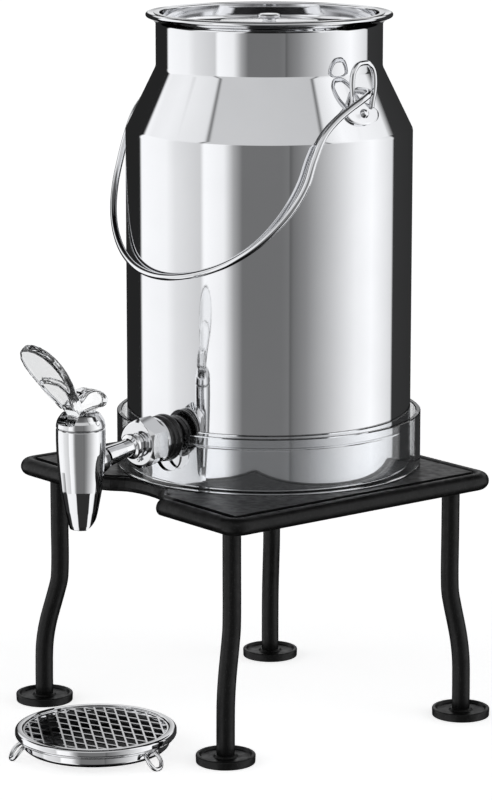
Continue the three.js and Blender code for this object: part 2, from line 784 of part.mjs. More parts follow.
function legsAndFeet() {
  const bottom = 3.4;
  for (const [name, { top, foot }] of Object.entries(LEGS)) {
    const at = (share, z) => [top[0] + (foot[0] - top[0]) * share, top[1] + (foot[1] - top[1]) * share, z];
    const path = [
      at(0, PLATE_TOP - PLATE_THICK - GAP),
      at(0, 112),
      at(0, 86),
      at(0.06, 76),
      at(0.25, 68),
      at(0.75, 49),
      at(0.95, 36),
      at(1, 20),
      at(1, bottom + GAP),
    ];
    add(`leg_${name}`, wire(path, LEG_RADIUS, 14, 12), BLACK_IRON);
    const dish = [
      [0, 0],
      [FOOT_RADIUS - 0.8, 0],
      [FOOT_RADIUS, 0.8],
      [FOOT_RADIUS, FOOT_HEIGHT - 0.7],
      [FOOT_RADIUS - 0.8, FOOT_HEIGHT],
      [FOOT_RADIUS - 2.2, FOOT_HEIGHT],
      [FOOT_RADIUS - 3.2, bottom],
      [0, bottom],
    ];
    add(`foot_${name}`, turned(dish, 20).translate(foot[0], foot[1], 0), BLACK_IRON);
  }
}

// ---------------------------------------------------------------- drip tray

// One opening of the grate, as a prism
function meshCell(x, y, low, high) {
  const alongHalf = (MESH.length - MESH.crossing) / 2;
  const acrossHalf = (MESH.pitch - MESH.strand) / 2;
  const slant = acrossHalf * Math.tan(MESH.lean);
  const shape = new THREE.Shape();
  shape.moveTo(x - alongHalf - slant, y - acrossHalf);
  shape.lineTo(x + alongHalf - slant, y - acrossHalf);
  shape.lineTo(x + alongHalf + slant, y + acrossHalf);
  shape.lineTo(x - alongHalf + slant, y + acrossHalf);
  shape.closePath();
  return new THREE.ExtrudeGeometry(shape, { depth: high - low, bevelEnabled: false }).translate(0, 0, low);
}

function tray() {
  const place = (g) => g.translate(TRAY.x, TRAY.y, 0);
  const rimZ = 11.4;
  const basin = [
    [0, 4],
    [TRAY.basinRadius - 3, 4],
    [TRAY.basinRadius - 1.2, 5.4],
    [TRAY.basinRadius, rimZ - 0.9],
    [45.6, rimZ - 0.9],
    [45.9, rimZ - 0.45],
    [45.6, rimZ],
    [TRAY.basinRadius - 1, rimZ],
    [TRAY.basinRadius - 2.2, 6.2],
    [TRAY.basinRadius - 3.6, 5],
    [0, 5],
  ];
  add('tray_basin', place(turned(basin, 36)), CHROME);

  const low = rimZ + GAP;
  const inner = 42.6;
  const ledge = 40.2;
  const ring = [
    [ledge, low],
    [TRAY.ringRadius - 0.5, low],
    [TRAY.ringRadius, low + 0.5],
    [TRAY.ringRadius, TRAY.topZ - 1.1],
    [TRAY.ringRadius - 0.4, TRAY.topZ - 0.3],
    [TRAY.ringRadius - 1.2, TRAY.topZ],
    [inner + 0.5, TRAY.topZ],
    [inner, TRAY.topZ - 0.5],
    [inner, low + 1.6],
    [ledge, low + 1.6],
  ];
  add('grate_ring', place(turnedLoop(ring, 36)), CHROME);

  const meshLow = low + 1.6 + GAP;
  const disc = cylinder(inner - GAP, meshLow, TRAY.topZ - 0.9, 36);
  const window = cylinder(inner - GAP - 0.9, meshLow - 1, TRAY.topZ + 1, 36);
  const cells = [];
  const rows = Math.ceil(inner / MESH.pitch);
  const columns = Math.ceil(inner / MESH.length) + 1;
  for (let row = -rows; row <= rows; row += 1) {
    for (let column = -columns; column <= columns; column += 1) {
      const x = (column + (row % 2) / 2) * MESH.length;
      const y = row * MESH.pitch;
      if (Math.hypot(x, y) > inner + 4) continue;
      cells.push(solid(meshCell(x, y, meshLow - 2, TRAY.topZ + 2)));
    }
  }
  const turnedCells = wasm.Manifold.union(cells).rotate([0, 0, MESH.turn]);
  const openings = turnedCells.intersect(solid(window));
  const grate = surface(solid(disc).subtract(openings));
  add('grate_mesh', place(grate), CHROME);

  TRAY_FOOT_ANGLES.forEach((degrees, i) => {
    const half = [
      [43.4, 3.6, rimZ - 0.9 - GAP - 1.25],
      [45.6, 4.4, 7.6],
      [48.4, 4.4, 4.4],
      [50.2, 2.6, 1.8],
    ];
    const other = half.map(([r, t, z]) => [r, -t, z]).reverse();
    const path = [...half, [50.8, 0, 1.2], ...other];
    const foot = wire(path, 1.2, 12, 6).rotateZ(degrees * DEG);
    add(`tray_foot_${i + 1}`, place(foot), CHROME);
  });
}

canShell();
lid();
ears();
bail();
collar();
tapFixing();
tapNut();
shank();
spoutBody();
bonnet();
lever();
valve();
stand();
legsAndFeet();
tray();

// Origin to the middle of the bounding box's base
const box = new THREE.Box3().setFromObject(group);
const shiftX = -(box.min.x + box.max.x) / 2;
const shiftY = -(box.min.y + box.max.y) / 2;
for (const mesh of group.children) mesh.geometry.translate(shiftX, shiftY, -box.min.z);

export default group;
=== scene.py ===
"""Milk can dispenser: the looks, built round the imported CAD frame.

Shapes are written in millimetres from the can's axis, with the floor at zero and the tap pointing
along -Y, as the frame has them. They are moved onto the frame's own can and turned into metres last.
"""

import json
import math

import bmesh
import bpy
from mathutils import Matrix, Vector


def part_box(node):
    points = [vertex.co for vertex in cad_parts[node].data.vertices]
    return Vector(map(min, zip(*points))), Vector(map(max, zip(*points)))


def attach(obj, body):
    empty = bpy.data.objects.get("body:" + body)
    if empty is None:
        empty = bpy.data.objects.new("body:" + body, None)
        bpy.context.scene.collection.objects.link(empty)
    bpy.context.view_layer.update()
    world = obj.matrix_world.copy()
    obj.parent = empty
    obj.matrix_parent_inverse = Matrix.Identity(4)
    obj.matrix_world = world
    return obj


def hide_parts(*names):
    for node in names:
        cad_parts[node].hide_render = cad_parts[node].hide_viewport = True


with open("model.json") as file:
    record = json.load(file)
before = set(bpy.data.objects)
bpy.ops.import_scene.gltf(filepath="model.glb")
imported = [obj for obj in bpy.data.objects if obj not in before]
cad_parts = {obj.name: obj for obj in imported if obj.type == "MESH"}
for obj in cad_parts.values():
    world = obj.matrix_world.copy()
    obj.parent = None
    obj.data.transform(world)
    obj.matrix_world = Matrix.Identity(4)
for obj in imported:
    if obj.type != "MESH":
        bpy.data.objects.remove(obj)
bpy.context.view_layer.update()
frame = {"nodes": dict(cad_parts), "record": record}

MM = 0.001
BODY_LOW, BODY_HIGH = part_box("can_body")
AXIS = Vector(((BODY_LOW.x + BODY_HIGH.x) / 2, (BODY_LOW.y + BODY_HIGH.y) / 2, 0))
INTO_FRAME = Matrix.Translation(AXIS) @ Matrix.Scale(MM, 4)

# Meshes
ON_AXIS = 1e-6
MERGE_DISTANCE = 2e-6
CAD_SHARP = 34

# Can
BODY_RADIUS = 85
NECK_RADIUS = 66.9
WALL = 1.1
FOOT_Z = 151.2
FLOOR_Z = 160
SEAM_Z = 177
CREASE_Z = 353
NECK_Z = 389.8
LIP_Z = 420
LIP_RADIUS = 71.35
SHOULDER_SLOPE = (BODY_RADIUS - NECK_RADIUS) / (NECK_Z - CREASE_Z)

# Tap
TAP_Z = 181
SPOUT_Y = -163.3
DROOP = math.radians(7)
NUT_FLATS = 25.6
NUT_FACE = 116.8
TAP_BORE = 8.9
SHANK_START = 116.1
PIN_Z = 202.5

# Ears and bail
EAR_TURN = math.radians(-6.5)
BAIL_Z = 381

# Stand
PLATE_TOP = 150.9
STAND_CENTRE = (-1.6, -12.9)
STAND_TURN = math.radians(-10.5)
STAND_X = 102.2
STAND_Y = 95.4
LEGS = {
    "front_left": ((-99.8, -78.6), (-107.1, -86)),
    "front_right": ((56.5, -98.5), (58.8, -106.7)),
    "back_left": ((-61.2, 74.7), (-66.9, 80)),
    "back_right": ((98.8, 51.6), (105, 56)),
}
# How a leg bends: share of the way out from its top to its foot, then height
LEG_BEND = (
    (0, 146.6), (0, 112), (0, 86), (0.06, 76), (0.25, 68),
    (0.75, 49), (0.95, 36), (1, 20), (1, 3.7),
)

# Drip tray
TRAY = Vector((-9.3, -143.4, 0))
AT_TRAY = Matrix.Translation(TRAY)
TRAY_FEET = (-122, -2, 118)

# Camera, from the can's axis
CAMERA_AZIMUTH = math.radians(40.5)
CAMERA_DISTANCE = 1958.5
CAMERA_HEIGHT = 590.7
CAMERA_AIM = (math.radians(78.4), 0, math.radians(40.9))
CAMERA_LENS = 149.7

# Studio brightness round the horizon: degrees to the right of the camera, then brightness
STUDIO = (
    (-180, 0.9), (-172, 0.02), (-126, 0.02), (-123, 1.1), (-90, 1.04), (-80, 0.86), (-56, 0.7), (-53, 1.12),
    (-36, 1.0), (-28, 0.42), (-21, 0.18), (10, 0.18), (16, 0.2), (17, 0.12), (19, 0.18), (30, 0.28),
    (50, 0.6), (73, 1.0), (90, 1.15), (109, 0.9), (116, 0.8), (118, 0.04), (172, 0.03), (180, 0.9),
)
# The same for what the sloping shoulder sees, higher up
UPPER_STUDIO = (
    (-180, 0.9), (-128, 0.95), (-100, 1.0), (-61, 0.86), (-58, 0.12), (-55, 0.66), (48, 0.62), (51, 0.12),
    (54, 0.86), (70, 1.1), (120, 0.95), (180, 0.9),
)
# And below the horizon, for what tapers downward
LOWER_STUDIO = (
    (-180, 0.9), (-172, 0.02), (-116, 0.02), (-112, 1.1), (-30, 1.0), (-26, 0.03), (54, 0.03), (57, 1.1),
    (93, 1.0), (97, 0.03), (172, 0.03), (180, 0.9),
)
# Brightness from straight down (0) through the horizon (0.5) to straight up (1)
FALL = ((0.0, 0.03), (0.08, 0.05), (0.13, 1.0), (0.86, 1.0), (0.92, 0.2), (1.0, 0.1))
# Heights of a ray, as the sine of its angle over the horizon, between which the room changes
TO_UPPER = (0.31, 0.37)
TO_LOWER = (-0.46, -0.44)
STEEP_UP = (0.52, 0.58)
STEEP_DOWN = (-0.38, -0.32)
# A steep ray that goes on behind the object finds the dark that draws its outlines
BEHIND = (-0.06, 0.02)
OUTLINE_DARKNESS = 0.97
# The panels' colours are divided by the strength, so that none of them passes one
STUDIO_STRENGTH = 1.2
STUDIO_TINT = (0.985, 0.99, 1)
BACKDROP = (0.84, 0.84, 0.84, 1)


# ------------------------------------------------------------------ shapes


def lathe(profile, segments=128, loop=False):
    """Turns (radius, z) points about Z and returns vertices and faces."""
    verts, faces, rings = [], [], []
    for radius, z in profile:
        if radius < ON_AXIS:
            rings.append([len(verts)])
            verts.append(Vector((0, 0, z)))
            continue
        rings.append(list(range(len(verts), len(verts) + segments)))
        for i in range(segments):
            a = 2 * math.pi * i / segments
            verts.append(Vector((radius * math.cos(a), radius * math.sin(a), z)))
    following = rings[1:] + (rings[:1] if loop else [])
    for low, high in zip(rings, following):
        for i in range(segments):
            j = (i + 1) % segments
            if len(low) == 1 and len(high) == 1:
                continue
            if len(low) == 1:
                faces.append((low[0], high[j], high[i]))
            elif len(high) == 1:
                faces.append((low[i], low[j], high[0]))
            else:
                faces.append((low[i], low[j], high[j], high[i]))
    return verts, faces


def rounded(corners, steps=5):
    """Rounds each (radius, z, fillet) corner of a profile, and never by more than its sides allow."""
    share = 0.48
    out = []
    for i, (r, z, fillet) in enumerate(corners):
        if not fillet or i in (0, len(corners) - 1):
            out.append((r, z))
            continue
        here = Vector((r, z))
        before = Vector(corners[i - 1][:2]) - here
        after = Vector(corners[i + 1][:2]) - here
        angle = before.angle(after)
        reach = min(fillet / math.tan(angle / 2), share * before.length, share * after.length)
        start = here + before.normalized() * reach
        end = here + after.normalized() * reach
        for k in range(steps + 1):
            t = k / steps
            q = start * (1 - t) ** 2 + here * 2 * t * (1 - t) + end * t * t
            out.append((q.x, q.y))
    return out


def arc(x, y, radius, start, end, steps):
    """Points round a centre, from one angle to another in degrees."""
    out = []
    for k in range(steps + 1):
        a = math.radians(start + (end - start) * k / steps)
        out.append((x + radius * math.cos(a), y + radius * math.sin(a)))
    return out


def smooth_path(points, spacing):
    """An evenly flowing curve through the points."""
    p = [Vector(q) for q in points]
    p = [2 * p[0] - p[1], *p, 2 * p[-1] - p[-2]]
    path = []
    for a, b, c, d in zip(p, p[1:], p[2:], p[3:]):
        t0 = 0
        t1 = t0 + (b - a).length ** 0.5
        t2 = t1 + (c - b).length ** 0.5
        t3 = t2 + (d - c).length ** 0.5
        steps = max(2, round((c - b).length / spacing))
        for k in range(steps):
            t = t1 + (t2 - t1) * k / steps
            ab = a.lerp(b, (t - t0) / (t1 - t0))
            bc = b.lerp(c, (t - t1) / (t2 - t1))
            cd = c.lerp(d, (t - t2) / (t3 - t2))
            abc = ab.lerp(bc, (t - t0) / (t2 - t0))
            bcd = bc.lerp(cd, (t - t1) / (t3 - t1))
            path.append(abc.lerp(bcd, (t - t1) / (t2 - t1)))
    path.append(p[-2])
    return path


def ring_faces(rings, sides):
    """Faces from each ring of points to the next, closed at both ends."""
    faces = []
    for ring in range(rings - 1):
        low, high = ring * sides, (ring + 1) * sides
        for i in range(sides):
            j = (i + 1) % sides
            faces.append((low + i, low + j, high + j, high + i))
    top = (rings - 1) * sides
    faces.append(tuple(range(sides - 1, -1, -1)))
    faces.append(tuple(range(top, top + sides)))
    return faces


def domed(stations, inset):
    """The stations of a bar, with three shrinking ones more at each end for a soft dome."""
    quarter = 3.4
    start, start_way, start_side, radius = stations[0]
    end, end_way, end_side, radius = stations[-1]
    out = [
        (start + start_way * inset, start_way, start_side, radius),
        *stations[1:-1],
        (end - end_way * inset, end_way, end_side, radius),
    ]
    for k in (1, 2, 3):
        a = math.pi / 2 * k / quarter
        reach = inset * (1 - math.sin(a))
        size = radius - inset * (1 - math.cos(a))
        out.insert(0, (start + start_way * reach, start_way, start_side, size))
        out.append((end - end_way * reach, end_way, end_side, size))
    return out


def tube(points, radius, spacing=2.0, sides=24, dome=0.5):
    """A round bar along a smooth path, with softly domed ends."""
    path = smooth_path(points, spacing)
    last = len(path) - 1
    tangents = [(path[min(i + 1, last)] - path[max(i - 1, 0)]).normalized() for i in range(len(path))]
    normal = tangents[0].orthogonal().normalized()
    stations = []
    for point, tangent in zip(path, tangents):
        normal = (normal - tangent * normal.dot(tangent)).normalized()
        stations.append((point, tangent, normal, radius))
    stations = domed(stations, dome * radius)
    verts = []
    for point, tangent, side, size in stations:
        other = tangent.cross(side)
        for i in range(sides):
            a = 2 * math.pi * i / sides
            verts.append(point + side * (size * math.cos(a)) + other * (size * math.sin(a)))
    return verts, ring_faces(len(stations), sides)


def box(low, high):
    (x0, y0, z0), (x1, y1, z1) = low, high
    verts = [Vector((x, y, z)) for z in (z0, z1) for y in (y0, y1) for x in (x0, x1)]
    faces = [(0, 2, 3, 1), (4, 5, 7, 6), (0, 1, 5, 4), (2, 6, 7, 3), (0, 4, 6, 2), (1, 3, 7, 5)]
    return verts, faces


def rod(radius, low, high, segments=48):
    return lathe([(0, low), (radius, low), (radius, high), (0, high)], segments)


def prism(outline, low, high):
    """Extrudes an (x, y) outline along Z."""
    count = len(outline)
    verts = [Vector((x, y, z)) for z in (low, high) for x, y in outline]
    faces = [(i, (i + 1) % count, count + (i + 1) % count, count + i) for i in range(count)]
    faces += [tuple(range(count - 1, -1, -1)), tuple(range(count, 2 * count))]
    return verts, faces


def moved(shape, *matrices):
    """The shape after each matrix in turn."""
    verts, faces = shape
    for m in matrices:
        verts = [m @ v for v in verts]
    return verts, faces


def turn(angle, axis):
    return Matrix.Rotation(angle, 4, axis)


def shift(x, y, z):
    return Matrix.Translation((x, y, z))


ALONG_TAP = (turn(math.pi / 2, "X"), shift(0, 0, TAP_Z))


def as_object(shape):
    mesh = bpy.data.meshes.new("work")
    mesh.from_pydata(shape[0], [], shape[1])
    bm = bmesh.new()
    bm.from_mesh(mesh)
    bmesh.ops.recalc_face_normals(bm, faces=bm.faces)
    bm.to_mesh(mesh)
    bm.free()
    obj = bpy.data.objects.new("work", mesh)
    bpy.context.scene.collection.objects.link(obj)
    return obj


def evaluated(obj):
    """The shape of an object with its modifiers applied. The object is removed."""
    bpy.context.view_layer.update()
    graph = bpy.context.evaluated_depsgraph_get()
    mesh = bpy.data.meshes.new_from_object(obj.evaluated_get(graph), depsgraph=graph)
    shape = [v.co.copy() for v in mesh.vertices], [tuple(p.vertices) for p in mesh.polygons]
    bpy.data.meshes.remove(mesh)
    bpy.data.objects.remove(obj)
    return shape


def combined(shape, others, operation):
    obj = as_object(shape)
    tools = [as_object(other) for other in others]
    for tool in tools:
        modifier = obj.modifiers.new("combine", "BOOLEAN")
        modifier.object = tool
        modifier.operation = operation
        modifier.solver = "EXACT"
    result = evaluated(obj)
    for tool in tools:
        bpy.data.objects.remove(tool)
    return result


def cut(shape, *others):
    return combined(shape, others, "DIFFERENCE")


def join(shape, *others):
    return combined(shape, others, "UNION")


def common(shape, *others):
    return combined(shape, others, "INTERSECT")


def remeshed(shape, voxel, smoothing):
    """One soft moulded skin round the shape."""
    obj = as_object(shape)
    remesh = obj.modifiers.new("skin", "REMESH")
    remesh.mode = "VOXEL"
    remesh.voxel_size = voxel
    soften = obj.modifiers.new("soften", "SMOOTH")
    soften.factor = 0.5
    soften.iterations = smoothing
    return evaluated(obj)


def piece(name, shape, body, slot, replaces=(), sharp=32):
    """Makes a shown piece from a shape, riding on a CAD body and standing for CAD nodes."""
    mesh = bpy.data.meshes.new(name)
    mesh.from_pydata([INTO_FRAME @ v for v in shape[0]], [], shape[1])
    bm = bmesh.new()
    bm.from_mesh(mesh)
    bmesh.ops.remove_doubles(bm, verts=bm.verts, dist=MERGE_DISTANCE)
    bmesh.ops.recalc_face_normals(bm, faces=bm.faces)
    for face in bm.faces:
        face.smooth = True
    for edge in bm.edges:
        edge.smooth = len(edge.link_faces) != 2 or edge.calc_face_angle(0) < math.radians(sharp)
    bm.to_mesh(mesh)
    bm.free()
    mesh.materials.append(MATERIALS[slot])
    obj = bpy.data.objects.new(name, mesh)
    bpy.context.scene.collection.objects.link(obj)
    weighted = obj.modifiers.new("weighted normals", "WEIGHTED_NORMAL")
    weighted.keep_sharp = True
    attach(obj, body)
    if replaces:
        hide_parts(*replaces)
    return obj


# ------------------------------------------------------------------ materials


def new_material(name):
    material = bpy.data.materials.new(name)
    material.use_nodes = True
    tree = material.node_tree
    return material, tree, tree.nodes["Principled BSDF"]


def noise(tree, scale, detail=3, stretch=(1, 1, 1)):
    """Noise in the object's own space; stretch makes it run along an axis."""
    place = tree.nodes.new("ShaderNodeTexCoord")
    mapping = tree.nodes.new("ShaderNodeMapping")
    mapping.inputs["Scale"].default_value = stretch
    tree.links.new(place.outputs["Object"], mapping.inputs["Vector"])
    texture = tree.nodes.new("ShaderNodeTexNoise")
    texture.inputs["Scale"].default_value = scale
    texture.inputs["Detail"].default_value = detail
    tree.links.new(mapping.outputs["Vector"], texture.inputs["Vector"])
    return texture.outputs["Fac"]


def ramp(tree, value, stops):
    """Maps a value onto colours, given as (position, colour) stops."""
    node = tree.nodes.new("ShaderNodeValToRGB")
    elements = node.color_ramp.elements
    while len(elements) > len(stops):
        elements.remove(elements[-1])
    while len(elements) < len(stops):
        elements.new(1)
    for element, (at, colour) in zip(elements, stops):
        element.position = at
        element.color = (*colour, 1)
    tree.links.new(value, node.inputs["Fac"])
    return node.outputs["Color"]


def span(tree, value, low, high, start=0.3, end=0.7):
    """Maps a noise value onto low..high."""
    node = tree.nodes.new("ShaderNodeMapRange")
    node.inputs["From Min"].default_value = start
    node.inputs["From Max"].default_value = end
    node.inputs["To Min"].default_value = low
    node.inputs["To Max"].default_value = high
    tree.links.new(value, node.inputs["Value"])
    return node.outputs["Result"]


def bump(tree, height, strength, distance, under=None):
    """A bumped normal, on top of the normal under it."""
    node = tree.nodes.new("ShaderNodeBump")
    node.inputs["Strength"].default_value = strength
    node.inputs["Distance"].default_value = distance
    tree.links.new(height, node.inputs["Height"])
    if under is not None:
        tree.links.new(under, node.inputs["Normal"])
    return node.outputs["Normal"]


def metal(name, dark, light, rough_low, rough_high, wave):
    """A mirror finish with faint smears, fine polishing lines and a very slight waviness."""
    material, tree, shader = new_material(name)
    shader.inputs["Metallic"].default_value = 1
    cloud = noise(tree, 16, 4)
    tree.links.new(ramp(tree, cloud, ((0.35, dark), (0.65, light))), shader.inputs["Base Color"])
    smears = noise(tree, 26, 5, (1, 1, 0.35))
    tree.links.new(span(tree, smears, rough_low, rough_high), shader.inputs["Roughness"])
    lines = noise(tree, 9, 2, (1, 1, 160))
    slow = bump(tree, noise(tree, 11, 1), wave, 0.001)
    tree.links.new(bump(tree, lines, 0.006, 0.0001, slow), shader.inputs["Normal"])
    return material


def black_iron():
    """Satin black over lightly hammered iron, with a fine grain of dust."""
    material, tree, shader = new_material("black_iron")
    pits = noise(tree, 210, 2)
    grain = noise(tree, 1400, 3)
    stops = (
        (0.3, (0.002, 0.002, 0.002)),
        (0.6, (0.004, 0.004, 0.004)),
        (0.78, (0.03, 0.03, 0.031)),
    )
    tree.links.new(ramp(tree, grain, stops), shader.inputs["Base Color"])
    shader.inputs["Specular IOR Level"].default_value = 0.28
    tree.links.new(span(tree, pits, 0.3, 0.46), shader.inputs["Roughness"])
    hammered = bump(tree, pits, 0.35, 0.0006)
    tree.links.new(bump(tree, grain, 0.2, 0.00012, hammered), shader.inputs["Normal"])
    return material


def rubber():
    """Black rubber with a faint grey bloom."""
    material, tree, shader = new_material("rubber")
    bloom = noise(tree, 120, 4)
    stops = ((0.35, (0.008, 0.008, 0.008)), (0.7, (0.022, 0.022, 0.023)))
    tree.links.new(ramp(tree, bloom, stops), shader.inputs["Base Color"])
    tree.links.new(span(tree, bloom, 0.16, 0.3), shader.inputs["Roughness"])
    tree.links.new(bump(tree, noise(tree, 900, 2), 0.12, 0.0001), shader.inputs["Normal"])
    return material


def clear_acrylic():
    """Clear moulded plastic with faint flow lines."""
    material, tree, shader = new_material("clear_acrylic")
    shader.inputs["Transmission Weight"].default_value = 1
    shader.inputs["IOR"].default_value = 1.49
    haze = noise(tree, 60, 3)
    stops = ((0.3, (0.95, 0.96, 0.97)), (0.7, (0.985, 0.99, 0.995)))
    tree.links.new(ramp(tree, haze, stops), shader.inputs["Base Color"])
    tree.links.new(span(tree, haze, 0.01, 0.035), shader.inputs["Roughness"])
    tree.links.new(bump(tree, noise(tree, 70, 2), 0.08, 0.0005), shader.inputs["Normal"])
    return material


def painted_shade_well_steel():
    """The drip tray's well: brushed, rougher and slightly stained steel, with its shade painted in as a
    near-black colour.
    """
    material, tree, shader = new_material("painted_shade_well_steel")
    shader.inputs["Metallic"].default_value = 1
    stain = noise(tree, 60, 4)
    # Near-black base colour: painted shade for the well, varied by random stain tone
    stops = ((0.35, (0.02, 0.02, 0.021)), (0.7, (0.06, 0.06, 0.062)))
    tree.links.new(ramp(tree, stain, stops), shader.inputs["Base Color"])
    tree.links.new(span(tree, stain, 0.4, 0.6), shader.inputs["Roughness"])
    tree.links.new(bump(tree, noise(tree, 40, 2, (1, 30, 1)), 0.1, 0.0002), shader.inputs["Normal"])
    return material


MATERIALS = {
    "polished_steel": metal("polished_steel", (0.84, 0.845, 0.86), (0.88, 0.885, 0.9), 0.035, 0.06, 0.012),
    "chrome": metal("chrome", (0.86, 0.865, 0.875), (0.91, 0.91, 0.92), 0.02, 0.045, 0.02),
    "black_iron": black_iron(),
    "rubber": rubber(),
    "clear_acrylic": clear_acrylic(),
    "painted_shade_well_steel": painted_shade_well_steel(),
}


def dress_cad_nodes():
    """Gives every carried-over CAD node its slot's material and soft shading over its facets."""
    slots = {entry["node"]: entry["material_slot"] for entry in frame["record"]["subparts"]}
    for name, obj in frame["nodes"].items():
        obj.data.materials.clear()
        obj.data.materials.append(MATERIALS[slots[name]])
        for polygon in obj.data.polygons:
            polygon.use_smooth = True
        obj.data.set_sharp_from_angle(angle=math.radians(CAD_SHARP))


# ------------------------------------------------------------------ can


def can_shell():
    """The can's body, shoulder, neck and rolled lip as one turned sheet with a foot seam."""
    inner = BODY_RADIUS - WALL
    neck_in = NECK_RADIUS - WALL
    inside = [
        (0, FLOOR_Z + WALL, 0),
        (inner, FLOOR_Z + WALL, 5),
        (inner, CREASE_Z - 0.4, 6),
        (neck_in, NECK_Z - 0.4, 6),
        (neck_in, LIP_Z - 1, 2),
        (neck_in + 1.8, LIP_Z + 0.4, 1),
        (LIP_RADIUS - 1, LIP_Z + 1.1, 0),
    ]
    lip = arc(LIP_RADIUS, LIP_Z, 1.45, 98, -72, 14)
    outside = [
        (LIP_RADIUS - 0.4, LIP_Z - 1.7, 0),
        (NECK_RADIUS + 1.8, LIP_Z - 2.9, 3),
        (NECK_RADIUS, LIP_Z - 4.6, 3),
        (NECK_RADIUS, NECK_Z, 6),
        (BODY_RADIUS, CREASE_Z, 6),
        (BODY_RADIUS, SEAM_Z + 0.8, 0.3),
        (BODY_RADIUS - 0.6, SEAM_Z + 0.2, 0.2),
        (BODY_RADIUS - 0.6, SEAM_Z - 0.3, 0.2),
        (BODY_RADIUS - 0.1, SEAM_Z - 0.9, 0.3),
        (BODY_RADIUS - 0.1, FOOT_Z, 1.2),
        (BODY_RADIUS - 3, FOOT_Z, 1.2),
        (BODY_RADIUS - 3, FLOOR_Z, 2),
        (0, FLOOR_Z, 0),
    ]
    profile = rounded(inside, 6) + lip + rounded(outside, 6)
    piece("can_skin", lathe(profile, 256), "can", "polished_steel", ("can_body", "can_neck"), 50)


def lid():
    """The sunken lid with its raised middle, and the knob that stands on it."""
    skirt = NECK_RADIUS - WALL - 0.6
    dish, disc, edge = 411.5, 416.4, LIP_Z + 0.7
    pan = [
        (0, disc, 0),
        (29, disc, 1.6),
        (31.6, dish, 2),
        (skirt - 0.8, dish, 3),
        (skirt - 0.8, edge + 0.6, 1),
        (skirt + 2.7, edge + 0.72, 0.2),
        (skirt + 2.9, edge + 0.4, 0.2),
        (skirt, edge, 1),
        (skirt, dish - 0.8, 3),
        (30.6, dish - 0.8, 2),
        (28, disc - 0.8, 1.6),
        (0, disc - 0.8, 0),
    ]
    piece("lid_dish", lathe(rounded(pan, 6), 192), "lid", "polished_steel", ("lid_pan",), 50)
    base = disc + 0.3
    knob = [
        (0, base, 0),
        (4, base, 0.3),
        (3.8, base + 1.1, 0.5),
        (7.1, base + 1.4, 0.7),
        (7.1, base + 2.9, 0.8),
        (5.6, base + 3.5, 1.5),
        (0, base + 3.6, 0),
    ]
    piece("lid_grip", lathe(rounded(knob, 5), 64), "lid", "polished_steel", ("lid_knob",), 50)


def from_ear(side, outward, forward, z):
    """A point that lies so far out through one ear and so far forward to the tap."""
    c, n = math.cos(EAR_TURN), math.sin(EAR_TURN)
    across = side * outward
    return Vector((across * c + forward * n, across * n - forward * c, z))


def cone_radius(z):
    """The radius of the shoulder at a height."""
    return BODY_RADIUS - (z - CREASE_Z) * SHOULDER_SLOPE


def ear_pad(side):
    """A rounded plate that follows the cone of the shoulder, with a soft edge."""
    around, gap, thick = 56, 0.15, 2.0
    centre_z, half_width = 368.6, 13.2
    rings = (0.001, 0.5, 0.8, 0.9, 0.96, 1.0, 1.0)
    rise = (1, 1, 1, 0.96, 0.84, 0.5, 0)
    lean = math.hypot(1, SHOULDER_SLOPE)
    verts = []
    for ring, lift in zip(rings, rise):
        for i in range(around):
            a = 2 * math.pi * i / around
            up = math.sin(a)
            narrowing, height = (6.5, 7.2) if up > 0 else (1.2, 6.6)
            w = (half_width - narrowing * up) * math.cos(a) * ring
            z = centre_z + height * up * ring
            radius = cone_radius(z) + (gap + lift * thick) * lean
            verts.append(from_ear(side, radius * math.cos(w / radius), radius * math.sin(w / radius), z))
    return verts, ring_faces(len(rings), around)


def ears():
    """On each side a bent wire loop, its welded pad and the rivet in the middle of the pad."""
    rivet_z = 368.2
    tilt = math.atan(SHOULDER_SLOPE)
    half = [
        (78.2, 7.4, 370.6), (78.6, 7.8, 375.5), (79, 8.6, 380.5),
        (79, 9, 386.5), (79, 7.9, 392.4), (79, 4.5, 396.3),
    ]
    path = half + [(79, 0, 397.1)] + [(s, -f, z) for s, f, z in reversed(half)]
    dome = lathe(rounded([(0, 2.2, 0), (1.8, 1.9, 0.8), (2.8, 0.4, 0.5), (2.9, -0.4, 0)], 4), 40)
    for name, side, facing in (("left", -1, EAR_TURN + math.pi), ("right", 1, EAR_TURN)):
        loop = tube([from_ear(side, *p) for p in path], 1.6, 1.2, 20)
        piece(f"ear_loop_{name}", loop, "can", "polished_steel", (f"ear_{name}",), 40)
        piece(f"ear_pad_{name}", ear_pad(side), "can", "polished_steel", (), 50)
        out = cone_radius(rivet_z) + 2.3 / math.cos(tilt)
        rivet = moved(dome, turn(math.pi / 2 - tilt, "Y"), shift(out, 0, rivet_z), turn(facing, "Z"))
        piece(f"rivet_{name}", rivet, "can", "polished_steel", (f"ear_rivet_{name}",), 50)


def bail():
    """The wire handle, hanging in front, with its ends hooked through the ears."""
    half = [
        (73.2, 0, 0), (78, 0, 0), (82.6, 0.2, 0), (86, 2.2, -0.8), (86.6, 8, -3.8),
        (85, 16, -8.5), (83.4, 25, -14.5), (82.2, 34, -23), (81.6, 41, -36), (81, 46.5, -50),
        (77.4, 53.5, -63), (69, 62.5, -77), (57, 71, -89), (40, 79.3, -99), (20, 85.7, -105),
    ]
    path = half + [(0, 87.8, -107)] + [(-s, f, z) for s, f, z in reversed(half)]
    points = [from_ear(1, s, f, BAIL_Z + z) for s, f, z in path]
    piece("bail_wire", tube(points, 2.0, 2, 24), "bail", "polished_steel", ("bail_handle",), 40)


# ------------------------------------------------------------------ collar


